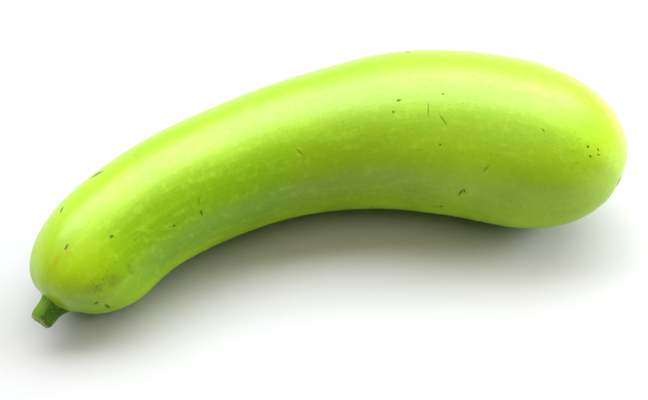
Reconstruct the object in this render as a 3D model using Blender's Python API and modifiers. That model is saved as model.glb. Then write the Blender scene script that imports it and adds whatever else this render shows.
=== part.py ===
"""Bottle gourd: one long, club-shaped fruit lying on its side, with the cut stub of its stem.

Metres, +Z up. The bend of the fruit lies level: its hollow side faces -Y, the stem end is at
-X and the thick blossom end at +X. The fruit rests on the plane z = 0, and the origin is on
that plane, under the middle of the whole gourd's box.
"""

import math

import bmesh
import bpy
from mathutils import Vector

# The fruit, along its curved centreline. A share of 0 is the stem end, 1 the blossom end.
FRUIT_LENGTH = 0.3375
# (share of the length, heading of the centreline in degrees, turned from +X towards +Y)
HEADINGS = ((0.0, 48.5), (0.1, 38.5), (0.2, 28.7), (0.4, 11.0), (0.6, -9.0), (0.8, -28.0),
            (1.0, -44.5))
# (share of the length, radius of the fruit before its ends are rounded off)
GIRTHS = ((0.0, 0.0260), (0.1, 0.0307), (0.2, 0.0331), (0.35, 0.0354), (0.5, 0.0392),
          (0.65, 0.0445), (0.8, 0.0458), (1.0, 0.0446))
NECK_ROUND = 0.044      # length over which the stem end rounds off
NECK_BLUNTNESS = 6.0     # 2 is an elliptic end, more is blunter
BLOSSOM_ROUND = 0.0730
BLOSSOM_BLUNTNESS = 2.8
NECK_DIP = 0.0065        # how far the stem end dips below its own radius
NECK_DIP_LENGTH = 0.032
FLAT_DEPTH = 0.00025     # how much the underside is flattened where it lies
FRUIT_RINGS = 64
FRUIT_SIDES = 44
CENTRELINE_STEPS = 168

# The stem's stub, along its own axis from the fruit's pole outwards
STEM_LENGTH = 0.0145     # from the pole to the cut
STEM_BURIED = 0.0080     # behind the pole, trimmed away by the fruit's shoulder
STEM_RADIUS_CUT = 0.0053
STEM_RADIUS_ROOT = 0.0074
STEM_FLARE_LENGTH = 0.009
STEM_RIBS = 5
STEM_RIB_SHARE = 0.06    # a rib's height as a share of the radius
STEM_EDGE = 0.0005       # worn edge round the cut
STEM_TURN = -16.0        # degrees, the stem heading off the fruit's own axis
STEM_SLOPE = (4.0, 14.0)  # degrees below level at the root and at the cut
STEM_SIDES = 40
STEM_STEPS = 14
CLEARANCE = 0.0003       # between the stem's root and the fruit

GREEN = (0.36, 0.53, 0.06, 1.0)
STEM_GREEN = (0.10, 0.20, 0.04, 1.0)


def clear_scene():
    """Remove every object and collection that the scene starts with."""
    for thing in list(bpy.data.objects):
        bpy.data.objects.remove(thing, do_unlink=True)
    for group in list(bpy.data.collections):
        bpy.data.collections.remove(group)


def new_collection(name):
    """Make a collection in the scene."""
    group = bpy.data.collections.new(name)
    bpy.context.scene.collection.children.link(group)
    return group


def new_material(name, colour, roughness):
    """Make a plain Principled BSDF material."""
    finish = bpy.data.materials.new(name)
    finish.use_nodes = True
    shader = finish.node_tree.nodes["Principled BSDF"]
    shader.inputs["Base Color"].default_value = colour
    shader.inputs["Roughness"].default_value = roughness
    shader.inputs["Metallic"].default_value = 0.0
    finish.diffuse_color = colour
    return finish


def smooth_value(stations, share):
    """Read a smooth curve through the (share, value) stations at a share."""
    places = [station[0] for station in stations]
    values = [station[1] for station in stations]
    last = len(stations) - 1
    left = 0
    while left < last - 1 and share > places[left + 1]:
        left += 1

    def slope(index):
        before = max(index - 1, 0)
        after = min(index + 1, last)
        return (values[after] - values[before]) / (places[after] - places[before])

    span = places[left + 1] - places[left]
    t = (share - places[left]) / span
    return (values[left] * (2 * t ** 3 - 3 * t ** 2 + 1)
            + slope(left) * span * (t ** 3 - 2 * t ** 2 + t)
            + values[left + 1] * (3 * t ** 2 - 2 * t ** 3)
            + slope(left + 1) * span * (t ** 3 - t ** 2))


def girth(distance):
    """Radius of the fruit at a distance from the stem end, before its ends are rounded."""
    return smooth_value(GIRTHS, distance / FRUIT_LENGTH)


def end_rounding(distance, length, bluntness):
    """Share of the radius that a rounded end keeps at a distance from its pole."""
    inwards = max(0.0, 1.0 - distance / length)
    return math.sqrt(max(0.0, 1.0 - inwards ** bluntness))


def fruit_radius(distance):
    """Radius of the fruit at a distance from the stem end."""
    return (girth(distance) * end_rounding(distance, NECK_ROUND, NECK_BLUNTNESS)
            * end_rounding(FRUIT_LENGTH - distance, BLOSSOM_ROUND, BLOSSOM_BLUNTNESS))


def axis_height(distance):
    """Height of the centreline: the fruit lies along its underside, and the stem end dips."""
    dip = NECK_DIP * max(0.0, 1.0 - distance / NECK_DIP_LENGTH) ** 2
    return girth(distance) - dip - FLAT_DEPTH


def centreline():
    """Points along the fruit's axis, from the stem end to the blossom end."""
    stride = FRUIT_LENGTH / CENTRELINE_STEPS
    place = Vector((0.0, 0.0, axis_height(0.0)))
    points = [place.copy()]
    for step in range(CENTRELINE_STEPS):
        heading = math.radians(smooth_value(HEADINGS, (step + 0.5) / CENTRELINE_STEPS))
        place.x += math.cos(heading) * stride
        place.y += math.sin(heading) * stride
        place.z = axis_height((step + 1) * stride)
        points.append(place.copy())
    return points


def new_guide(name, points, group):
    """Make a hidden curve that a shape is bent along."""
    curve = bpy.data.curves.new(name, "CURVE")
    curve.dimensions = "3D"
    curve.twist_mode = "Z_UP"
    curve.use_path = True
    spline = curve.splines.new("POLY")
    spline.points.add(len(points) - 1)
    for knot, point in zip(spline.points, points):
        knot.co = (*point, 1.0)
    guide = bpy.data.objects.new(name, curve)
    guide.hide_render = True
    guide.display_type = "WIRE"
    group.objects.link(guide)
    return guide


def new_turned_fruit(name, grown_by, guide, group):
    """Turn the fruit's profile and bend it along the guide.

    The profile stands on +Z from the stem end and is listed from the blossom end down, on
    its outer side. grown_by is added all round.
    """
    profile = []
    for ring in range(FRUIT_RINGS + 1):
        share = 0.5 - 0.5 * math.cos(math.pi * (1.0 - ring / FRUIT_RINGS))
        distance = share * FRUIT_LENGTH
        radius = fruit_radius(distance)
        at_a_pole = ring in (0, FRUIT_RINGS)
        outwards = grown_by * (2.0 * share - 1.0)
        profile.append((0.0 if at_a_pole else radius + grown_by, 0.0, distance + outwards))
    mesh = bpy.data.meshes.new(name)
    edges = [(index, index + 1) for index in range(FRUIT_RINGS)]
    mesh.from_pydata(profile, edges, [])
    turned = bpy.data.objects.new(name, mesh)
    group.objects.link(turned)
    screw = turned.modifiers.new("turn", "SCREW")
    screw.axis = "Z"
    screw.steps = FRUIT_SIDES
    screw.render_steps = FRUIT_SIDES
    screw.use_merge_vertices = True
    screw.merge_threshold = 0.00001
    bend = turned.modifiers.new("bend", "CURVE")
    bend.object = guide
    bend.deform_axis = "POS_Z"
    return turned


def new_cutter_look(thing):
    """Show a cutter as wires only."""
    thing.hide_render = True
    thing.display_type = "WIRE"


def new_floor_cutter(group):
    """A slab whose top is the plane that the gourd lies on."""
    reach = 2.0 * FRUIT_LENGTH
    depth = 0.02
    bpy.ops.mesh.primitive_cube_add(size=1.0, location=(0.0, 0.0, -depth / 2))
    slab = bpy.context.object
    slab.name = "floor_cutter"
    for home in list(slab.users_collection):
        home.objects.unlink(slab)
    group.objects.link(slab)
    slab.scale = (reach * 2, reach * 2, depth)
    new_cutter_look(slab)
    return slab


def cut(thing, cutter):
    """Take a cutter away from a shape."""
    step = thing.modifiers.new("cut_" + cutter.name, "BOOLEAN")
    step.operation = "DIFFERENCE"
    step.solver = "EXACT"
    step.object = cutter


def stem_path(pole):
    """Points and radii along the stem's axis, from behind the fruit's pole to the cut."""
    whole = STEM_BURIED + STEM_LENGTH
    heading = math.radians(HEADINGS[0][1] + 180.0 + STEM_TURN)
    place = Vector(pole)
    points = []
    radii = []
    for step in range(STEM_STEPS + 1):
        share = step / STEM_STEPS
        along = share * whole - STEM_BURIED
        slope = math.radians(STEM_SLOPE[0] + (STEM_SLOPE[1] - STEM_SLOPE[0]) * share)
        flare = max(0.0, 1.0 - max(along, 0.0) / STEM_FLARE_LENGTH) ** 2
        direction = Vector((math.cos(heading) * math.cos(slope),
                            math.sin(heading) * math.cos(slope), -math.sin(slope)))
        points.append(place + direction * along)
        radii.append(STEM_RADIUS_CUT + (STEM_RADIUS_ROOT - STEM_RADIUS_CUT) * flare)
    cut_end = points[-1]
    edge_start = cut_end + (points[-2] - cut_end).normalized() * STEM_EDGE
    points.insert(-1, edge_start)
    radii.insert(-1, STEM_RADIUS_CUT)
    radii[-1] = STEM_RADIUS_CUT - STEM_EDGE
    return points, radii


def new_stem_outline(group):
    """The stem's ribbed section, one metre in radius, for the stem's own radii to scale."""
    curve = bpy.data.curves.new("stem_outline", "CURVE")
    curve.dimensions = "2D"
    spline = curve.splines.new("POLY")
    spline.points.add(STEM_SIDES - 1)
    for index, knot in enumerate(spline.points):
        angle = 2.0 * math.pi * index / STEM_SIDES
        reach = 1.0 + STEM_RIB_SHARE * math.cos(STEM_RIBS * angle)
        knot.co = (reach * math.cos(angle), reach * math.sin(angle), 0.0, 1.0)
    spline.use_cyclic_u = True
    outline = bpy.data.objects.new("stem_outline", curve)
    new_cutter_look(outline)
    group.objects.link(outline)
    return outline


def new_stem(pole, group, cutters):
    """Sweep the ribbed section along the stem's axis and close it as a mesh."""
    points, radii = stem_path(pole)
    curve = bpy.data.curves.new("stem_sweep", "CURVE")
    curve.dimensions = "3D"
    curve.twist_mode = "MINIMUM"
    curve.bevel_mode = "OBJECT"
    curve.bevel_object = new_stem_outline(cutters)
    curve.use_fill_caps = True
    spline = curve.splines.new("POLY")
    spline.points.add(len(points) - 1)
    for knot, point, radius in zip(spline.points, points, radii):
        knot.co = (*point, 1.0)
        knot.radius = radius
    sweep = bpy.data.objects.new("stem_sweep", curve)
    group.objects.link(sweep)
    depsgraph = bpy.context.evaluated_depsgraph_get()
    mesh = bpy.data.meshes.new_from_object(sweep.evaluated_get(depsgraph))
    bpy.data.objects.remove(sweep, do_unlink=True)
    mesh.name = "stem"
    shape = bmesh.new()
    shape.from_mesh(mesh)
    bmesh.ops.remove_doubles(shape, verts=shape.verts, dist=0.00001)
    bmesh.ops.recalc_face_normals(shape, faces=shape.faces)
    shape.to_mesh(mesh)
    shape.free()
    stem = bpy.data.objects.new("stem", mesh)
    group.objects.link(stem)
    return stem


def shade(thing, sharp_above):
    """Shade a shape smooth, with edges sharper than the angle in degrees left crisp."""
    thing.data.shade_smooth()
    thing.data.set_sharp_from_angle(angle=math.radians(sharp_above))


def centre_on_origin(pieces, movers):
    """Bring the middle of the pieces' box over the origin, moving everything together."""
    depsgraph = bpy.context.evaluated_depsgraph_get()
    corners = []
    for piece in pieces:
        evaluated = piece.evaluated_get(depsgraph)
        corners.extend(evaluated.matrix_world @ Vector(corner) for corner in evaluated.bound_box)
    lowest = Vector([min(corner[axis] for corner in corners) for axis in range(3)])
    highest = Vector([max(corner[axis] for corner in corners) for axis in range(3)])
    middle = (lowest + highest) / 2
    place = bpy.data.objects.new("gourd_place", None)
    bpy.context.scene.collection.objects.link(place)
    for mover in movers:
        mover.parent = place
    place.location = (-middle.x, -middle.y, 0.0)


def main():
    """Build the gourd's two pieces."""
    clear_scene()
    gourd = new_collection("bottle_gourd")
    helpers = new_collection("cutters_and_guides")

    axis = centreline()
    guide = new_guide("fruit_axis", axis, helpers)
    fruit = new_turned_fruit("fruit", 0.0, guide, gourd)
    floor = new_floor_cutter(helpers)
    cut(fruit, floor)
    fruit.data.materials.append(new_material("green_skin", GREEN, 0.45))
    shade(fruit, 60.0)

    seat = new_turned_fruit("stem_seat", CLEARANCE, guide, helpers)
    new_cutter_look(seat)
    stem = new_stem(axis[0], gourd, helpers)
    cut(stem, seat)
    stem.data.materials.append(new_material("stem_green", STEM_GREEN, 0.6))
    shade(stem, 35.0)

    bpy.context.view_layer.update()
    centre_on_origin((fruit, stem), (fruit, stem, seat, floor, guide))


main()
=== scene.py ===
"""A bottle gourd lying on a pale surface: its skin, its stalk and the plain studio round it.

Metres, +Z up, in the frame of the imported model. The fruit is turned straight, sculpted, and
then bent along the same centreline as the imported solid. A straight place is a point of the
fruit before it is bent: x runs from the stem end, y to the left of the axis and z up. Angles
round the fruit start at its left side, which is the outside of the bend, and pass the top.
"""

import logging
import math
from dataclasses import dataclass
from enum import Enum

import bmesh
import bpy
from mathutils import Euler, Matrix, Vector, noise


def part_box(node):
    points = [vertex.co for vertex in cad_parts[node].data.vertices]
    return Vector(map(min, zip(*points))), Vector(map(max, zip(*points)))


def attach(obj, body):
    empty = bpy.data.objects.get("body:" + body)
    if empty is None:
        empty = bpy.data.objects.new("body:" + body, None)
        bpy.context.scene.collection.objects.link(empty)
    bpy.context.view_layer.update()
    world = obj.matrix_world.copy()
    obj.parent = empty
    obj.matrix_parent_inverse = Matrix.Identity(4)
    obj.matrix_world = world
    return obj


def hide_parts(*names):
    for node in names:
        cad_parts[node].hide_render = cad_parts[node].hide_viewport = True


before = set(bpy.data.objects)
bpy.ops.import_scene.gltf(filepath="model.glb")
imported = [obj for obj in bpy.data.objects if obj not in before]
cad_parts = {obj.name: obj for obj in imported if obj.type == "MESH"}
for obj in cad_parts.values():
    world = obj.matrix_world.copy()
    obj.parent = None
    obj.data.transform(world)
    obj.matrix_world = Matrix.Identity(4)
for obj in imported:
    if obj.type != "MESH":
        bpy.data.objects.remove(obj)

LOG = logging.getLogger("bottle_gourd")
BODY = "root"
STRAIGHT = "straight"
Stations = tuple[tuple[float, float], ...]
Colour = tuple[float, float, float]


def smooth_value(stations: Stations, share: float) -> float:
    """Read a smooth curve through stations.

    Args:
        stations: Pairs of a share and the value there.
        share: Where to read the curve.

    Returns:
        The value at the share.
    """
    last = len(stations) - 1
    left = 0
    while left < last - 1 and share > stations[left + 1][0]:
        left += 1

    def slope(index: int) -> float:
        """Slope of the curve at a station."""
        before = stations[max(index - 1, 0)]
        after = stations[min(index + 1, last)]
        return (after[1] - before[1]) / (after[0] - before[0])

    span = stations[left + 1][0] - stations[left][0]
    t = (share - stations[left][0]) / span
    return (stations[left][1] * (2 * t ** 3 - 3 * t ** 2 + 1)
            + slope(left) * span * (t ** 3 - 2 * t ** 2 + t)
            + stations[left + 1][1] * (3 * t ** 2 - 2 * t ** 3)
            + slope(left + 1) * span * (t ** 3 - t ** 2))


def hump(value: float, middle: float, width: float) -> float:
    """A soft bump of height 1 at the middle, which is gone about two widths away."""
    return math.exp(-((value - middle) / width) ** 2)


def angle_hump(angle: float, middle: float, width: float) -> float:
    """A soft bump of height 1 round the fruit.

    Args:
        angle: Where to read it, in degrees.
        middle: The angle of its middle.
        width: Half its width, about, in degrees.

    Returns:
        Its height at the angle, from 0 to 1.
    """
    apart = (angle - middle + 180.0) % 360.0 - 180.0
    return math.exp(-(apart / width) ** 2)


class Signal:
    """A number in a material, on which Python's arithmetic adds Math nodes."""

    def __init__(self, bench: "Bench", socket: bpy.types.NodeSocket) -> None:
        """Wrap a node's output socket."""
        self.bench = bench
        self.socket = socket

    def _math(self, operation: str, first: "Signal | float", second: "Signal | float") -> "Signal":
        """Add one Math node and wrap its result."""
        node = self.bench.node("ShaderNodeMath", {"operation": operation}, {0: first, 1: second})
        return Signal(self.bench, node.outputs[0])

    def __add__(self, other: "Signal | float") -> "Signal":
        """Sum of two numbers."""
        return self._math("ADD", self, other)

    __radd__ = __add__

    def __sub__(self, other: "Signal | float") -> "Signal":
        """This number less another."""
        return self._math("SUBTRACT", self, other)

    def __rsub__(self, other: float) -> "Signal":
        """Another number less this one."""
        return self._math("SUBTRACT", other, self)

    def __mul__(self, other: "Signal | float") -> "Signal":
        """Product of two numbers."""
        return self._math("MULTIPLY", self, other)

    __rmul__ = __mul__

    def larger(self, other: "Signal | float") -> "Signal":
        """The larger of two numbers."""
        return self._math("MAXIMUM", self, other)

    def ramp(self, low: float, high: float) -> "Signal":
        """Turn the range low to high into a smooth 0 to 1."""
        node = self.bench.node("ShaderNodeMapRange", {"interpolation_type": "SMOOTHSTEP"},
                               {"Value": self, "From Min": low, "From Max": high})
        return Signal(self.bench, node.outputs["Result"])


class Bench:
    """The node tree of one material, with one method for every kind of node."""

    def __init__(self, name: str) -> None:
        """Make an empty material.

        Args:
            name: The material's name.
        """
        self.material = bpy.data.materials.new(name)
        self.material.use_nodes = True
        self.tree = self.material.node_tree
        self.tree.nodes.clear()

    def node(self, kind: str, settings: dict, values: dict) -> bpy.types.Node:
        """Add a node.

        Args:
            kind: The node's type.
            settings: Its own settings, which are set first.
            values: For each input, by name or number, a value, a Signal or a socket.

        Returns:
            The node.
        """
        node = self.tree.nodes.new(kind)
        for key, value in settings.items():
            setattr(node, key, value)
        for key, value in values.items():
            if isinstance(value, Signal):
                self.tree.links.new(value.socket, node.inputs[key])
            elif isinstance(value, bpy.types.NodeSocket):
                self.tree.links.new(value, node.inputs[key])
            else:
                node.inputs[key].default_value = value
        return node

    def straight(self) -> bpy.types.NodeSocket:
        """Places on the piece before it was bent."""
        settings = {"attribute_type": "GEOMETRY", "attribute_name": STRAIGHT}
        return self.node("ShaderNodeAttribute", settings, {}).outputs["Vector"]

    def placed(self, place: bpy.types.NodeSocket, kind: str, location: Colour = (0.0, 0.0, 0.0),
               rotation: Colour = (0.0, 0.0, 0.0), scale: Colour = (1.0, 1.0, 1.0)
               ) -> bpy.types.NodeSocket:
        """Move, turn and scale a place with a Mapping node.

        Args:
            place: The place to change.
            kind: The Mapping node's type, POINT or TEXTURE.
            location: Its location.
            rotation: Its rotation, in radians.
            scale: Its scale.

        Returns:
            The changed place.
        """
        values = {"Vector": place, "Location": location, "Rotation": rotation, "Scale": scale}
        return self.node("ShaderNodeMapping", {"vector_type": kind}, values).outputs["Vector"]

    def facing(self, place: bpy.types.NodeSocket, angle: float) -> Signal:
        """How far the skin faces an angle: 1 there, less to its sides, -1 opposite.

        Args:
            place: The straight place.
            angle: The angle round the fruit, in degrees.

        Returns:
            The cosine of the angle between.
        """
        turn = math.radians(angle)
        flat = self.node("ShaderNodeVectorMath", {"operation": "MULTIPLY"}, {0: place, 1: (0.0, 1.0, 1.0)})
        unit = self.node("ShaderNodeVectorMath", {"operation": "NORMALIZE"}, {0: flat.outputs["Vector"]})
        cosine = self.node("ShaderNodeVectorMath", {"operation": "DOT_PRODUCT"},
                           {0: unit.outputs["Vector"], 1: (0.0, math.cos(turn), math.sin(turn))})
        return Signal(self, cosine.outputs["Value"])

    def apart(self, place: bpy.types.NodeSocket, point: Colour) -> Signal:
        """Distance to a point, in metres."""
        node = self.node("ShaderNodeVectorMath", {"operation": "DISTANCE"}, {0: place, 1: point})
        return Signal(self, node.outputs["Value"])

    def grain(self, place: bpy.types.NodeSocket, per_metre: float, detail: float = 2.0,
              roughness: float = 0.5) -> Signal:
        """Soft noise.

        Args:
            place: Where to read it.
            per_metre: How many of its blotches fit in a metre.
            detail: How many finer layers it has.
            roughness: How strong the finer layers are.

        Returns:
            A number from 0 to 1, near 0.5 on average.
        """
        values = {"Vector": place, "Scale": per_metre, "Detail": detail, "Roughness": roughness}
        return Signal(self, self.node("ShaderNodeTexNoise", {}, values).outputs["Fac"])

    def cells(self, place: bpy.types.NodeSocket, per_metre: float) -> Signal:
        """Distance to the nearest of many scattered points, as a share of their spacing."""
        values = {"Vector": place, "Scale": per_metre}
        return Signal(self, self.node("ShaderNodeTexVoronoi", {}, values).outputs["Distance"])

    def mixed(self, share: Signal, first: "Colour | bpy.types.NodeSocket",
              second: "Colour | bpy.types.NodeSocket") -> bpy.types.NodeSocket:
        """Mix two colours.

        Args:
            share: 0 for the first colour, 1 for the second.
            first: A colour or a colour socket.
            second: A colour or a colour socket.

        Returns:
            The mixed colour.
        """
        first = (*first, 1.0) if isinstance(first, tuple) else first
        second = (*second, 1.0) if isinstance(second, tuple) else second
        values = {0: share, 6: first, 7: second}
        return self.node("ShaderNodeMix", {"data_type": "RGBA"}, values).outputs[2]

    def bumped(self, height: Signal, distance: float, strength: float) -> bpy.types.NodeSocket:
        """Turn a height into a normal."""
        values = {"Height": height, "Distance": distance, "Strength": strength}
        return self.node("ShaderNodeBump", {}, values).outputs["Normal"]

    def finish(self, values: dict) -> bpy.types.Material:
        """Close the material with a Principled BSDF.

        Args:
            values: The shader's inputs, as for node.

        Returns:
            The finished material.
        """
        shader = self.node("ShaderNodeBsdfPrincipled", {}, values)
        output = self.node("ShaderNodeOutputMaterial", {}, {})
        self.tree.links.new(shader.outputs["BSDF"], output.inputs["Surface"])
        return self.material


@dataclass(frozen=True)
class Centreline:
    """The fruit's curved axis and its girth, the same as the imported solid's."""

    length: float = 0.3375
    headings: Stations = ((0.0, 48.5), (0.1, 38.5), (0.2, 28.7), (0.4, 11.0), (0.6, -9.0),
                          (0.8, -28.0), (1.0, -44.5))
    girths: Stations = ((0.0, 0.0260), (0.1, 0.0307), (0.2, 0.0331), (0.35, 0.0354),
                        (0.5, 0.0392), (0.65, 0.0445), (0.8, 0.0458), (1.0, 0.0446))
    neck_round: float = 0.044
    neck_bluntness: float = 6.0
    blossom_round: float = 0.073
    blossom_bluntness: float = 2.8
    neck_dip: float = 0.0065
    neck_dip_length: float = 0.032
    flat_depth: float = 0.00025
    steps: int = 168

    def girth(self, distance: float) -> float:
        """Radius before the ends are rounded off."""
        return smooth_value(self.girths, distance / self.length)

    def radius(self, distance: float) -> float:
        """Radius of the fruit, rounded off at both ends.

        Args:
            distance: Distance from the stem end.

        Returns:
            The radius, in metres.
        """
        neck = max(0.0, 1.0 - distance / self.neck_round) ** self.neck_bluntness
        past = max(0.0, 1.0 - (self.length - distance) / self.blossom_round)
        blossom = past ** self.blossom_bluntness
        return self.girth(distance) * math.sqrt(max(0.0, (1.0 - neck) * (1.0 - blossom)))

    def height(self, distance: float) -> float:
        """Height of the axis over the surface that the fruit lies on."""
        dip = self.neck_dip * max(0.0, 1.0 - distance / self.neck_dip_length) ** 2
        return self.girth(distance) - dip - self.flat_depth

    def trace(self) -> list[Matrix]:
        """Walk along the axis.

        Returns:
            At each step a matrix whose columns are the axis's direction, its left, its up
            and its place.
        """
        stride = self.length / self.steps
        place = Vector((0.0, 0.0, self.height(0.0)))
        points = [place.copy()]
        for step in range(self.steps):
            heading = math.radians(smooth_value(self.headings, (step + 0.5) / self.steps))
            place += Vector((math.cos(heading), math.sin(heading), 0.0)) * stride
            place.z = self.height((step + 1) * stride)
            points.append(place.copy())
        poses = []
        for step, point in enumerate(points):
            ahead = points[min(step + 1, self.steps)] - points[max(step - 1, 0)]
            ahead.normalize()
            left = Vector((0.0, 0.0, 1.0)).cross(ahead).normalized()
            up = ahead.cross(left)
            turned = Matrix((ahead, left, up)).transposed().to_4x4()
            poses.append(Matrix.Translation(point) @ turned)
        return poses


class Bend:
    """Carries straight places to their places on the bent fruit."""

    def __init__(self, axis: Centreline, shift: Vector) -> None:
        """Trace the axis.

        Args:
            axis: The fruit's centreline.
            shift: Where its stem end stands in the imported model's frame.
        """
        self.axis = axis
        self.shift = shift
        self.poses = axis.trace()

    def pose(self, distance: float) -> Matrix:
        """Find the axis's matrix at a distance from the stem end.

        Args:
            distance: The distance, which may lie past either end, where the axis runs on straight.

        Returns:
            The matrix, as trace gives it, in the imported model's frame.
        """
        place = min(max(distance / self.axis.length, 0.0), 1.0) * self.axis.steps
        step = min(int(place), self.axis.steps - 1)
        share = place - step
        pose = self.poses[step] * (1.0 - share) + self.poses[step + 1] * share
        beyond = distance - place / self.axis.steps * self.axis.length
        return Matrix.Translation(self.shift) @ pose @ Matrix.Translation((beyond, 0.0, 0.0))

    def carry(self, straight: Vector) -> Vector:
        """The bent place of a straight place."""
        return self.pose(straight.x) @ Vector((0.0, straight.y, straight.z))


class MarkKind(Enum):
    """What a blemish on the skin is."""

    NICK = "dry dark nick"
    SCRATCH = "reddish scratch"
    STAIN = "soft brown stain"
    OLIVE = "soft olive stain"


@dataclass(frozen=True)
class Mark:
    """A blemish: its kind, place, half-length, half-width and tilt towards larger angles."""

    kind: MarkKind
    distance: float
    angle: float
    long: float
    wide: float
    tilt: float = 0.0


@dataclass(frozen=True)
class SkinFinish:
    """The waxy light green skin."""

    axis: Centreline
    marks: tuple[Mark, ...]
    green: Colour = (0.350, 0.580, 0.000)
    deep_green: Colour = (0.235, 0.435, 0.000)
    pale_green: Colour = (0.460, 0.660, 0.035)
    freckle_green: Colour = (0.130, 0.230, 0.000)
    # Yellow green is partly the skin's own lengthwise yellow bands and partly painted light, which yellows
    # the upper half where the lamp falls.
    yellow_and_lit_green: Colour = (0.410, 0.590, 0.002)
    # Painted light and shade: a darker, less yellow, slightly bluer green painted along the very top,
    # which tones down the most lit part and whitens its highlight.
    painted_top_shade_green: Colour = (0.268, 0.500, 0.042)
    # Painted shade: a deeper green painted in a band along the lower front side, where shade falls.
    painted_shade_green: Colour = (0.165, 0.345, 0.000)
    nick_brown: Colour = (0.050, 0.048, 0.004)
    scratch_brown: Colour = (0.170, 0.165, 0.000)
    stain_brown: Colour = (0.420, 0.300, 0.008)
    olive_brown: Colour = (0.140, 0.170, 0.000)
    scar_brown: Colour = (0.160, 0.110, 0.030)
    mark_depth: float = 0.010
    edge_wander: float = 0.0012
    # Angles round the fruit of the middle of the painted shade band, on the body and on the neck.
    shade_band_angle: float = 158.0
    neck_shade_band_angle: float = 151.0

    def mark_mask(self, bench: Bench, place: bpy.types.NodeSocket, mark: Mark) -> Signal:
        """Where a mark is.

        Args:
            bench: The material's bench.
            place: The straight place, roughened where the marks' edges wander.
            mark: The mark.

        Returns:
            1 in the mark's middle, 0 from its edge outwards.
        """
        radius = self.axis.radius(mark.distance)
        angle = math.radians(mark.angle)
        middle = (mark.distance, radius * math.cos(angle), radius * math.sin(angle))
        turn = Matrix.Rotation(angle, 3, "X") @ Matrix.Rotation(math.radians(-mark.tilt), 3, "Y")
        size = (mark.long, self.mark_depth, mark.wide)
        local = bench.placed(place, "TEXTURE", middle, tuple(turn.to_euler()), size)
        length = bench.node("ShaderNodeVectorMath", {"operation": "LENGTH"}, {0: local})
        return Signal(bench, length.outputs["Value"]).ramp(1.0, 0.35)

    def masks(self, bench: Bench, place: bpy.types.NodeSocket, kind: MarkKind) -> Signal:
        """Join all marks of a kind.

        Args:
            bench: The material's bench.
            place: The roughened straight place.
            kind: The kind of mark, of which there is at least one.

        Returns:
            1 in the marks, 0 between them.
        """
        joined = None
        for mark in self.marks:
            if mark.kind is kind:
                mask = self.mark_mask(bench, place, mark)
                joined = mask if joined is None else joined.larger(mask)
        return joined

    def roughened(self, bench: Bench, place: bpy.types.NodeSocket) -> bpy.types.NodeSocket:
        """Let a place wander a little, so that marks have uneven edges.

        Args:
            bench: The material's bench.
            place: The straight place.

        Returns:
            The wandering place.
        """
        values = {"Vector": place, "Scale": 700.0, "Detail": 2.0}
        wander = bench.node("ShaderNodeTexNoise", {}, values)
        wander = bench.node("ShaderNodeVectorMath", {"operation": "SUBTRACT"},
                            {0: wander.outputs["Color"], 1: (0.5, 0.5, 0.5)})
        reach = (self.edge_wander, self.edge_wander, self.edge_wander)
        wander = bench.node("ShaderNodeVectorMath", {"operation": "MULTIPLY_ADD"},
                            {0: wander.outputs["Vector"], 1: reach, 2: place})
        return wander.outputs["Vector"]

    def painted_shade_share(self, bench: Bench, place: bpy.types.NodeSocket, along: Signal,
                    thick: Signal) -> Signal:
        """How far the skin takes the painted shade: a deeper green painted in a band along the lower front
        side, where shade falls.

        Args:
            bench: The material's bench.
            place: The straight place.
            along: Distance from the stem end.
            thick: 0 towards the neck, 1 on the thick end.

        Returns:
            A number from 0 to 1.
        """
        neck = 1.0 - along.ramp(0.060, 0.160)
        shade_band = (bench.facing(place, self.shade_band_angle) * (1.0 - neck)
                 + bench.facing(place, self.neck_shade_band_angle) * neck)
        shade_band = shade_band.ramp(0.66, 0.93)
        return shade_band * (0.72 + neck * 0.22) * (1.0 - thick * 0.7) * along.ramp(0.012, 0.050)

    def make(self) -> bpy.types.Material:
        """Build the material.

        Returns:
            The skin, with its patches, painted light and shade, mottle, freckles, marks and wax.
        """
        bench = Bench("green_skin")
        place = bench.straight()
        lengthwise = bench.placed(place, "POINT", scale=(0.09, 1.0, 1.0))
        patches = bench.grain(place, 24.0, 3.0)
        mottle = bench.grain(place, 240.0, 3.0, 0.6)
        speckle = bench.grain(place, 1000.0, 2.0, 0.7)
        streaks = bench.grain(lengthwise, 320.0, 3.0, 0.6)
        bands = bench.grain(lengthwise, 75.0, 2.0)
        dots = 1.0 - bench.cells(place, 450.0).ramp(0.12, 0.42)

        colour = bench.mixed(patches.ramp(0.35, 0.70), self.green, self.deep_green)
        colour = bench.mixed(bands.ramp(0.48, 0.78) * 0.35, colour, self.yellow_and_lit_green)
        split = bench.node("ShaderNodeSeparateXYZ", {}, {0: place})
        upwards = Signal(bench, split.outputs["Z"])
        along = Signal(bench, split.outputs["X"])
        thick = along.ramp(0.130, 0.270)
        shade_band = self.painted_shade_share(bench, place, along, thick)
        # Painted light: a yellower green painted over the upper half, where the lamp falls.
        colour = bench.mixed(upwards.ramp(0.002, 0.026) * 0.50, colour, self.yellow_and_lit_green)
        # Painted light and shade along the very top: a darker, bluer green that tones down the most lit
        # part.
        colour = bench.mixed(upwards.ramp(0.020, 0.042) * 0.80, colour, self.painted_top_shade_green)
        # Painted shade along the lower front side.
        colour = bench.mixed(shade_band, colour, self.painted_shade_green)
        pale = (streaks.ramp(0.47, 0.75) * 0.24 + mottle.ramp(0.50, 0.72) * 0.26
                + dots * mottle.ramp(0.48, 0.64) * 0.11 + thick * 0.10)
        colour = bench.mixed(pale, colour, self.pale_green)
        colour = bench.mixed(speckle.ramp(0.48, 0.64) * 0.38, colour, self.deep_green)
        freckles = 1.0 - bench.cells(place, 300.0).ramp(0.08, 0.22)
        freckles = freckles * bench.grain(place, 60.0, 1.0).ramp(0.47, 0.60)
        colour = bench.mixed(freckles * 0.45, colour, self.freckle_green)

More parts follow.
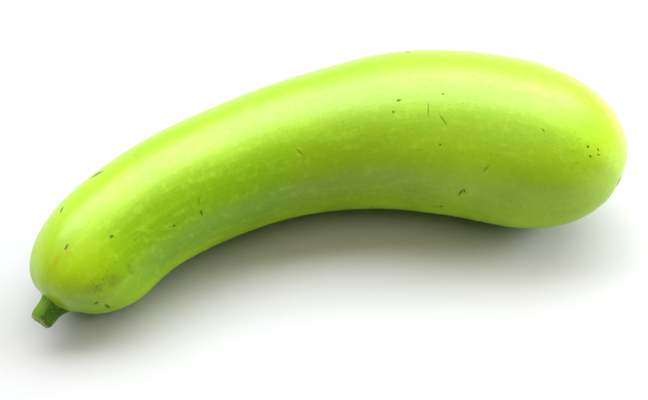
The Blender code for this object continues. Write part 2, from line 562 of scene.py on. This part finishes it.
        rough_place = self.roughened(bench, place)
        nicks = self.masks(bench, rough_place, MarkKind.NICK)
        scratches = self.masks(bench, rough_place, MarkKind.SCRATCH)
        stains = self.masks(bench, rough_place, MarkKind.STAIN) * mottle.ramp(0.38, 0.60)
        olive = self.masks(bench, rough_place, MarkKind.OLIVE)
        olive = olive * (mottle.ramp(0.36, 0.60) * 0.5 + speckle.ramp(0.46, 0.58) * 0.5)
        colour = bench.mixed(stains * 0.55, colour, self.stain_brown)
        colour = bench.mixed(olive * 0.85, colour, self.olive_brown)
        colour = bench.mixed(scratches * 0.75, colour, self.scratch_brown)
        colour = bench.mixed(nicks * 0.80, colour, self.nick_brown)
        scar = bench.apart(rough_place, (self.axis.length, 0.0, 0.0)).ramp(0.0036, 0.0018)
        colour = bench.mixed(scar * 0.85, colour, self.scar_brown)

        grainy = speckle.ramp(0.36, 0.62) * 0.34 + mottle.ramp(0.36, 0.66) * 0.20 + 0.40
        wax = 0.04 + upwards.ramp(-0.012, 0.024) * grainy
        roughness = 0.28 + mottle * 0.18 + nicks * 0.60 + olive * 0.25 + scar * 0.40
        height = speckle * 0.7 + mottle * 0.8 + streaks * 0.6 - nicks * 1.6 - scratches * 0.8
        normal = bench.bumped(height, 0.00030, 0.42)
        return bench.finish({"Base Color": colour, "Roughness": roughness, "Normal": normal,
                             "Coat Weight": wax, "Coat Roughness": 0.38,
                             "Specular IOR Level": 0.15})


@dataclass(frozen=True)
class StalkFinish:
    """The ribbed dark green stalk, painted a lighter green on the side towards the light, dry and tan
    round its cut.
    """

    length: float
    # The dark colour is for the stalk's shaded side and the green for its lit side: painted light and
    # shade.
    dark: Colour = (0.050, 0.130, 0.002)
    green: Colour = (0.150, 0.300, 0.003)
    dry: Colour = (0.480, 0.430, 0.260)
    fleck: Colour = (0.500, 0.560, 0.330)

    def make(self) -> bpy.types.Material:
        """Build the material."""
        bench = Bench("stem_green")
        place = bench.straight()
        fibres = bench.placed(place, "POINT", scale=(0.15, 1.0, 1.0))
        fibre = bench.grain(fibres, 900.0, 3.0, 0.6)
        blotch = bench.grain(place, 260.0, 3.0, 0.6)
        speck = bench.cells(place, 620.0)
        along = bench.node("ShaderNodeSeparateXYZ", {}, {0: place})
        along = Signal(bench, along.outputs["X"])
        # Painted light: the side facing up and back, towards the window light, is painted the lighter
        # green, the other side the dark one.
        lit_side = bench.facing(place, 155.0).ramp(0.10, 0.95) * 0.75 + fibre.ramp(0.35, 0.70) * 0.25
        colour = bench.mixed(lit_side, self.dark, self.green)
        specks = (1.0 - speck.ramp(0.10, 0.26)) * blotch.ramp(0.44, 0.56)
        colour = bench.mixed(specks * 0.7, colour, self.fleck)
        dryness = (along + blotch * 0.006).ramp(self.length + 0.0014, self.length + 0.0036)
        colour = bench.mixed(dryness * fibre.ramp(0.25, 0.60), colour, self.dry)
        height = fibre * 1.0 + blotch * 0.5
        normal = bench.bumped(height, 0.0003, 0.3)
        roughness = 0.50 + fibre * 0.15 + dryness * 0.25
        return bench.finish({"Base Color": colour, "Roughness": roughness, "Normal": normal,
                             "Specular IOR Level": 0.25})


@dataclass(frozen=True)
class FloorFinish:
    """A plain pale surface."""

    colour: Colour = (0.520, 0.526, 0.560)

    def make(self) -> bpy.types.Material:
        """Build the material."""
        bench = Bench("pale_floor")
        return bench.finish({"Base Color": (*self.colour, 1.0), "Roughness": 0.9,
                             "Specular IOR Level": 0.1})


@dataclass
class Fruit:
    """The whole fruit, grown as one piece."""

    bend: Bend
    rings: int = 250
    sides: int = 220
    swell: float = 0.00045
    swell_length: float = 0.045
    rib_height: float = 0.00016
    rib_count: int = 9
    fade_radius: float = 0.02
    neck_change: float = 0.0036
    name: str = "gourd_fruit"

    def end_shape(self, distance: float, radius: float) -> float:
        """How far the shoulder and the blossom scar stand along the axis.

        Args:
            distance: Distance of the ring from the stem end.
            radius: Radius of the ring.

        Returns:
            A step towards +x, in metres.
        """
        if distance > self.bend.axis.length / 2:
            dimple = 0.0010 * hump(radius, 0.0, 0.0012)
            collar = 0.0003 * hump(radius, 0.0028, 0.0010)
            hollow = 0.0006 * hump(radius, 0.0, 0.0080)
            return collar - dimple - hollow
        moat = 0.0003 * hump(radius, 0.0125, 0.0035)
        collar = 0.0003 * hump(radius, 0.0075, 0.0025)
        return moat - collar

    def relief(self, straight: Vector) -> float:
        """How far the skin stands out at a straight place, for its slight unevenness.

        Args:
            straight: A place on the turned fruit.

        Returns:
            A distance outwards, in metres.
        """
        radius = math.hypot(straight.y, straight.z)
        angle = math.atan2(straight.z, straight.y)
        degrees = math.degrees(angle)
        fade = min(1.0, radius / self.fade_radius)
        lumps = noise.noise(straight / self.swell_length) * self.swell
        fine = noise.noise(straight / 0.011 + Vector((7.0, 3.0, 1.0))) * self.swell * 0.12
        stretched = Vector((straight.x / 0.12, straight.y / 0.03, straight.z / 0.03))
        ribs = math.cos(self.rib_count * angle + 2.0 * noise.noise(stretched)) * self.rib_height
        fuller = self.neck_change * hump(straight.x, 0.029, 0.022) * angle_hump(degrees, 217.0, 45.0)
        leaner = self.neck_change * hump(straight.x, 0.010, 0.018) * angle_hump(degrees, 60.0, 55.0)
        return fade * (lumps + fine + ribs) + fuller - leaner

    def build(self) -> bpy.types.Object:
        """Turn, sculpt and bend the fruit.

        Returns:
            The fruit's object, with its straight places kept as an attribute.
        """
        axis = self.bend.axis
        shape = bmesh.new()
        profile = []
        for ring in range(self.rings + 1):
            distance = (0.5 - 0.5 * math.cos(math.pi * ring / self.rings)) * axis.length
            radius = 0.0 if ring in (0, self.rings) else axis.radius(distance)
            distance += self.end_shape(distance, radius)
            profile.append(shape.verts.new((distance, 0.0, radius)))
        edges = [shape.edges.new(pair) for pair in zip(profile, profile[1:])]
        bmesh.ops.spin(shape, geom=profile + edges, axis=(1.0, 0.0, 0.0), cent=(0.0, 0.0, 0.0),
                       angle=2.0 * math.pi, steps=self.sides, use_merge=True)
        bmesh.ops.remove_doubles(shape, verts=shape.verts, dist=0.000002)
        bmesh.ops.recalc_face_normals(shape, faces=shape.faces)
        layer = shape.verts.layers.float_vector.new(STRAIGHT)
        for vert in shape.verts:
            straight = vert.co.copy()
            vert[layer] = straight
            outwards = Vector((0.0, straight.y, straight.z))
            if outwards.length > 0.0001:
                straight += outwards.normalized() * self.relief(straight)
            vert.co = self.bend.carry(straight)
            vert.co.z = max(vert.co.z, 0.0)
        return new_piece(self.name, shape)

    def dress(self, piece: bpy.types.Object, finish: SkinFinish) -> None:
        """Give the fruit its skin and its place in the frame.

        Args:
            piece: The fruit's object.
            finish: Its skin.
        """
        piece.data.materials.append(finish.make())
        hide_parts("fruit")
        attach(piece, BODY)


@dataclass
class Stalk:
    """The cut stub of the stalk, set in the fruit's shoulder."""

    bend: Bend
    length: float = 0.0114
    buried: float = 0.0030
    radius_cut: float = 0.0055
    radius_root: float = 0.0073
    flare_length: float = 0.007
    lift: float = 0.0013
    ribs: int = 5
    rib_share: float = 0.10
    turn: float = -2.0
    slope: tuple[float, float] = (4.0, 14.0)
    sides: int = 110
    steps: int = 46
    name: str = "gourd_stalk"

    def place(self, along: float, sideways: float, upwards: float) -> Vector:
        """Carry a straight place on the stalk to its place on the gourd.

        Args:
            along: Distance from the fruit's pole towards the cut.
            sideways: Distance to the side of the stalk's axis.
            upwards: Distance above it.

        Returns:
            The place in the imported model's frame.
        """
        pole = self.bend.pose(0.0).translation
        share = (along + self.buried) / (self.buried + self.length)
        heading = math.radians(self.bend.axis.headings[0][1] + 180.0 + self.turn)
        slope = math.radians(self.slope[0] + (self.slope[1] - self.slope[0]) * share)
        ahead = Vector((math.cos(heading) * math.cos(slope),
                        math.sin(heading) * math.cos(slope), -math.sin(slope)))
        left = Vector((0.0, 0.0, 1.0)).cross(ahead).normalized()
        up = ahead.cross(left)
        return pole + ahead * along + left * sideways + up * (upwards + self.lift)

    def reach(self, along: float, angle: float) -> float:
        """Radius of the ribbed stalk.

        Args:
            along: Distance from the fruit's pole towards the cut.
            angle: Angle round the stalk, in radians.

        Returns:
            The radius, in metres.
        """
        flare = max(0.0, 1.0 - max(along, -0.001) / self.flare_length) ** 2
        radius = self.radius_cut + (self.radius_root - self.radius_cut) * flare
        ridge = self.rib_share * math.cos(self.ribs * angle + 0.6)
        wobble = 0.04 * noise.noise(Vector((along * 180.0, math.cos(angle) * 1.4, math.sin(angle) * 1.4)))
        fibre = 0.018 * noise.noise(Vector((along * 120.0, math.cos(angle) * 9.0, math.sin(angle) * 9.0)))
        radius += 0.0004 * hump(along, 0.0070, 0.0030)
        return radius * (1.0 + ridge + wobble + fibre)

    def build(self) -> bpy.types.Object:
        """Draw the ribbed stalk out ring by ring and close its cut face.

        Returns:
            The stalk's object.
        """
        shape = bmesh.new()
        layer = shape.verts.layers.float_vector.new(STRAIGHT)
        ring = bmesh.ops.create_circle(shape, segments=self.sides, radius=1.0)["verts"]
        edges = list(shape.edges)
        sections = [(step / self.steps * (self.length + self.buried) - self.buried, 1.0)
                    for step in range(self.steps + 1)]
        end = self.length
        sections = [(along, share - 0.10 * max(0.0, 1.0 - (end - along) / 0.0022) ** 2)
                    for along, share in sections]
        sections += [(end + 0.0004, 0.84), (end + 0.0006, 0.76), (end + 0.0004, 0.70),
                     (end - 0.0001, 0.64), (end - 0.0004, 0.55), (end - 0.0006, 0.38),
                     (end - 0.0012, 0.25), (end - 0.0015, 0.10)]
        for number, (along, share) in enumerate(sections):
            if number:
                drawn = bmesh.ops.extrude_edge_only(shape, edges=edges)["geom"]
                ring = [part for part in drawn if isinstance(part, bmesh.types.BMVert)]
                edges = [part for part in drawn if isinstance(part, bmesh.types.BMEdge)
                         and part.verts[0] in ring and part.verts[1] in ring]
            for index, vert in enumerate(ring):
                angle = math.atan2(vert.co.y, vert.co.x) if not number else vert[layer].y
                vert[layer] = (along, angle, share)
        for vert in shape.verts:
            along, angle, share = vert[layer]
            reach = self.reach(along, angle) * share
            straight = Vector((along, reach * math.cos(angle), reach * math.sin(angle)))
            if along > end - 0.002 and share < 1.0:
                straight.x += 0.0004 * noise.noise(straight * 900.0)
            vert[layer] = straight
            vert.co = self.place(*straight)
        bmesh.ops.holes_fill(shape, edges=shape.edges, sides=0)
        bmesh.ops.recalc_face_normals(shape, faces=shape.faces)
        return new_piece(self.name, shape)

    def dress(self, piece: bpy.types.Object, finish: StalkFinish) -> None:
        """Give the stalk its finish and its place in the frame.

        Args:
            piece: The stalk's object.
            finish: Its finish.
        """
        piece.data.materials.append(finish.make())
        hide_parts("stem")
        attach(piece, BODY)


@dataclass
class Studio:
    """A pale floor, soft light and the camera."""

    floor_size: float = 6.0
    lens: float = 50.0
    sensor: float = 36.0
    azimuth: float = -10.95
    elevation: float = 49.7
    aim: tuple[float, float, float] = (-0.0041, -0.0228, 0.0393)
    distance: float = 0.4775
    world_strength: float = 0.125

    def camera(self) -> None:
        """Set up the camera."""
        data = bpy.data.cameras.new("camera")
        data.lens = self.lens
        data.sensor_width = self.sensor
        data.clip_start = 0.01
        camera = bpy.data.objects.new("camera", data)
        turn, lift = math.radians(self.azimuth), math.radians(self.elevation)
        back = Vector((math.sin(turn) * math.cos(lift), -math.cos(turn) * math.cos(lift),
                       math.sin(lift)))
        camera.location = Vector(self.aim) + back * self.distance
        camera.rotation_euler = Euler((math.pi / 2 - lift, 0.0, turn))
        bpy.context.scene.collection.objects.link(camera)
        bpy.context.scene.camera = camera

    def floor(self, finish: FloorFinish) -> None:
        """Lay the pale floor.

        Args:
            finish: Its finish.
        """
        shape = bmesh.new()
        bmesh.ops.create_grid(shape, x_segments=1, y_segments=1, size=self.floor_size / 2)
        floor = new_piece("floor", shape)
        floor.data.materials.append(finish.make())

    def softbox(self, name: str, place: Vector, target: Vector, size: tuple[float, float],
                power: float, colour: Colour = (1.0, 1.0, 1.0), mirrored: bool = False) -> None:
        """Hang a soft rectangular light.

        Args:
            name: The light's name.
            place: Where its middle hangs.
            target: What it faces.
            size: Its width and height.
            power: Its power in watts.
            colour: Its colour.
            mirrored: Whether glossy skin reflects it.
        """
        data = bpy.data.lights.new(name, "AREA")
        data.shape = "RECTANGLE"
        data.size, data.size_y = size
        data.energy = power
        data.color = colour
        light = bpy.data.objects.new(name, data)
        light.visible_glossy = mirrored
        light.location = place
        light.rotation_euler = (target - place).to_track_quat("-Z", "Y").to_euler()
        bpy.context.scene.collection.objects.link(light)

    def lights(self) -> None:
        """Hang the lights and light the air."""
        world = bpy.data.worlds.new("pale_air")
        world.use_nodes = True
        background = world.node_tree.nodes["Background"]
        background.inputs["Color"].default_value = (1.0, 0.95, 0.78, 1.0)
        background.inputs["Strength"].default_value = self.world_strength
        bpy.context.scene.world = world
        middle = Vector((0.0, 0.0, 0.03))
        self.softbox("window", Vector((0.02, 0.42, 0.90)), middle, (2.4, 0.62), 29.6,
                     (0.95, 0.975, 1.0), mirrored=True)
        self.softbox("ceiling", Vector((-0.05, -0.18, 1.10)), middle, (2.0, 1.0), 7.5,
                     (1.0, 0.92, 0.62))
        self.softbox("side_fill", Vector((0.92, 0.00, 0.36)), middle, (0.45, 0.40), 9.0)
        bpy.context.scene.view_settings.view_transform = "Standard"


def new_piece(name: str, shape: bmesh.types.BMesh) -> bpy.types.Object:
    """Make a smooth-shaded object at the origin from a bmesh.

    Args:
        name: The object's name.
        shape: The bmesh, which is freed.

    Returns:
        The object.
    """
    mesh = bpy.data.meshes.new(name)
    shape.to_mesh(mesh)
    shape.free()
    mesh.shade_smooth()
    piece = bpy.data.objects.new(name, mesh)
    bpy.context.scene.collection.objects.link(piece)
    return piece


def stem_end_place(axis: Centreline) -> Vector:
    """Find where the axis's stem end stands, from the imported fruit's box.

    Args:
        axis: The fruit's centreline.

    Returns:
        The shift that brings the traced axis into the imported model's frame.
    """
    bend = Bend(axis, Vector((0.0, 0.0, 0.0)))
    low = [math.inf, math.inf]
    high = [-math.inf, -math.inf]
    for step in range(axis.steps + 1):
        distance = step / axis.steps * axis.length
        radius = axis.radius(distance)
        for degrees in range(0, 360, 3):
            angle = math.radians(degrees)
            place = bend.carry(Vector((distance, radius * math.cos(angle), radius * math.sin(angle))))
            for side in (0, 1):
                low[side] = min(low[side], place[side])
                high[side] = max(high[side], place[side])
    box_low, box_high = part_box("fruit")
    return Vector(((box_low[0] + box_high[0] - low[0] - high[0]) / 2,
                   (box_low[1] + box_high[1] - low[1] - high[1]) / 2, 0.0))


MARKS = (
    Mark(MarkKind.NICK, 0.0314, 60.0, 0.0026, 0.0009, -49.0),
    Mark(MarkKind.NICK, 0.0218, 99.0, 0.0016, 0.0009, -8.0),
    Mark(MarkKind.NICK, 0.0118, 180.0, 0.0038, 0.0010, 99.0),
    Mark(MarkKind.NICK, 0.0539, 55.0, 0.0046, 0.0023, 32.0),
    Mark(MarkKind.NICK, 0.2192, 61.0, 0.0024, 0.0011, 56.0),
    Mark(MarkKind.SCRATCH, 0.0859, 143.4, 0.0030, 0.0006, 117.0),
    Mark(MarkKind.NICK, 0.0845, 153.8, 0.0024, 0.0007, 94.0),
    Mark(MarkKind.STAIN, 0.0159, 99.0, 0.0095, 0.0065, 40.0),
    Mark(MarkKind.OLIVE, 0.0194, 152.0, 0.0130, 0.0055, 33.0),
    Mark(MarkKind.NICK, 0.0105, 164.0, 0.0013, 0.0010),
    Mark(MarkKind.OLIVE, 0.0328, 160.0, 0.0046, 0.0024, 99.0),
    Mark(MarkKind.NICK, 0.0358, 125.5, 0.0015, 0.0011),
    Mark(MarkKind.NICK, 0.0670, 151.5, 0.0011, 0.0009),
    Mark(MarkKind.SCRATCH, 0.1527, 135.8, 0.0044, 0.0008, 55.0),
    Mark(MarkKind.STAIN, 0.1378, 119.0, 0.0016, 0.0014),
    Mark(MarkKind.NICK, 0.2143, 113.7, 0.0018, 0.0010, -7.0),
    Mark(MarkKind.NICK, 0.2113, 121.7, 0.0010, 0.0009),
    Mark(MarkKind.NICK, 0.2365, 109.9, 0.0010, 0.0009),
    Mark(MarkKind.SCRATCH, 0.2294, 121.0, 0.0052, 0.0006, 87.0),
    Mark(MarkKind.SCRATCH, 0.2377, 127.0, 0.0050, 0.0007, 48.0),
    Mark(MarkKind.NICK, 0.2375, 143.3, 0.0013, 0.0009),
    Mark(MarkKind.SCRATCH, 0.2669, 154.6, 0.0042, 0.0007, -58.0),
    Mark(MarkKind.NICK, 0.2560, 174.0, 0.0022, 0.0009, 60.0),
    Mark(MarkKind.NICK, 0.2537, 176.2, 0.0038, 0.0010, 115.0),
    Mark(MarkKind.STAIN, 0.2545, 174.5, 0.0035, 0.0028),
    Mark(MarkKind.SCRATCH, 0.2385, 196.2, 0.0052, 0.0006, -20.0),
    Mark(MarkKind.NICK, 0.2420, 194.8, 0.0018, 0.0010, -20.0),
    Mark(MarkKind.NICK, 0.1935, 206.4, 0.0018, 0.0012, 11.0),
    Mark(MarkKind.SCRATCH, 0.2922, 121.5, 0.0020, 0.0007, 30.0),
    Mark(MarkKind.NICK, 0.3171, 118.6, 0.0010, 0.0009),
    Mark(MarkKind.NICK, 0.3222, 115.5, 0.0009, 0.0008),
    Mark(MarkKind.NICK, 0.3234, 119.2, 0.0010, 0.0008),
    Mark(MarkKind.NICK, 0.3200, 124.5, 0.0010, 0.0008),
    Mark(MarkKind.NICK, 0.3358, 223.4, 0.0011, 0.0010),
    Mark(MarkKind.SCRATCH, 0.1320, 20.0, 0.0050, 0.0008, 35.0),
    Mark(MarkKind.NICK, 0.2860, 5.0, 0.0018, 0.0011, -20.0),
    Mark(MarkKind.STAIN, 0.2500, -60.0, 0.0130, 0.0080, 15.0),
)


def main() -> None:
    """Build the gourd and the studio, piece by piece."""
    logging.basicConfig(level=logging.INFO, format="%(name)s: %(message)s")
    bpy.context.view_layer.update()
    axis = Centreline()
    bend = Bend(axis, stem_end_place(axis))
    studio = Studio()
    studio.camera()
    fruit = Fruit(bend)
    fruit_piece = fruit.build()
    fruit.dress(fruit_piece, SkinFinish(axis, MARKS))
    LOG.info("%s: %d faces", fruit_piece.name, len(fruit_piece.data.polygons))
    stalk = Stalk(bend)
    stalk_piece = stalk.build()
    stalk.dress(stalk_piece, StalkFinish(stalk.length))
    LOG.info("%s: %d faces", stalk_piece.name, len(stalk_piece.data.polygons))
    studio.floor(FloorFinish())
    studio.lights()


if __name__ == "__main__":
    main()
